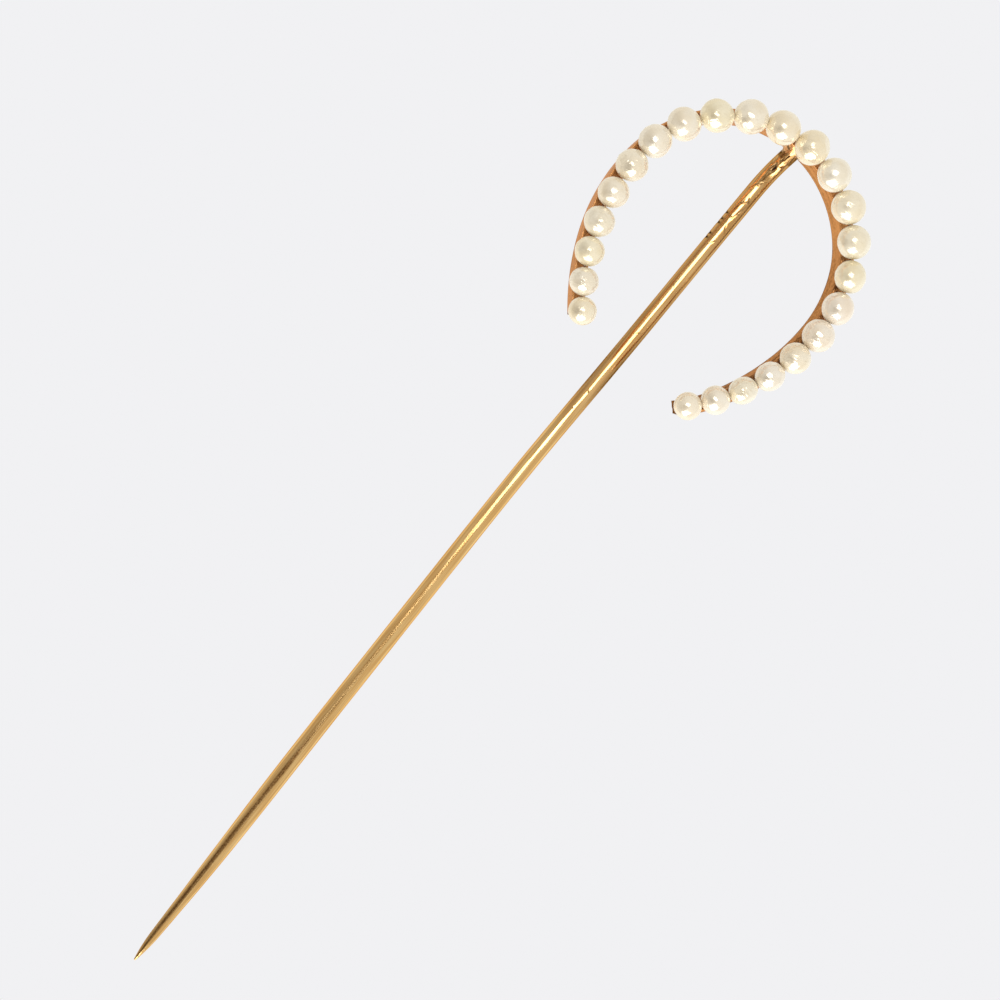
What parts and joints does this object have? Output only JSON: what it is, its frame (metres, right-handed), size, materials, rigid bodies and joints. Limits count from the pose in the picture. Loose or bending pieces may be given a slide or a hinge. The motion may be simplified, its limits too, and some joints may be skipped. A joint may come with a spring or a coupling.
{
  "type": "stick pin",
  "caption": "Tapered gold wire pin with an open horseshoe head: graduated seed pearls pegged along the front edge of a narrow gold bar.",
  "frame": {"origin": "on the shaft's axis, halfway along its straight full-diameter length, which is the part that passes through the cloth", "axes": "+Z along the shaft, away from the point and towards the head; -Y towards the side the pearls face; +X to the right seen from that side"},
  "size_m": [0.018, 0.0066, 0.0669],
  "materials": {
    "yellow_gold": "polished yellow gold alloy with fine lengthwise scratches",
    "rose_gold": "satin rose gold alloy with faint lengthwise tool lines",
    "pearl": "cream seed pearl, soft nacre lustre",
    "cement": "dull grey-brown setting cement",
    "solder": "bright gold solder"
  },
  "bodies": {
    "root": {"pin_shaft": "yellow_gold", "horseshoe_bar": "rose_gold", "pearl_01": "pearl", "pearl_02": "pearl", "pearl_03": "pearl", "pearl_04": "pearl", "pearl_05": "pearl", "pearl_06": "pearl", "pearl_07": "pearl", "pearl_08": "pearl", "pearl_09": "pearl", "pearl_10": "pearl", "pearl_11": "pearl", "pearl_12": "pearl", "pearl_13": "pearl", "pearl_14": "pearl", "pearl_15": "pearl", "pearl_16": "pearl", "pearl_17": "pearl", "pearl_18": "pearl", "pearl_19": "pearl", "pearl_20": "pearl", "pearl_21": "pearl", "pearl_22": "pearl", "pearl_23": "pearl", "pearl_pegs": "yellow_gold", "peg_cement": "cement", "neck_solder": "solder"}
  },
  "joints": []
}
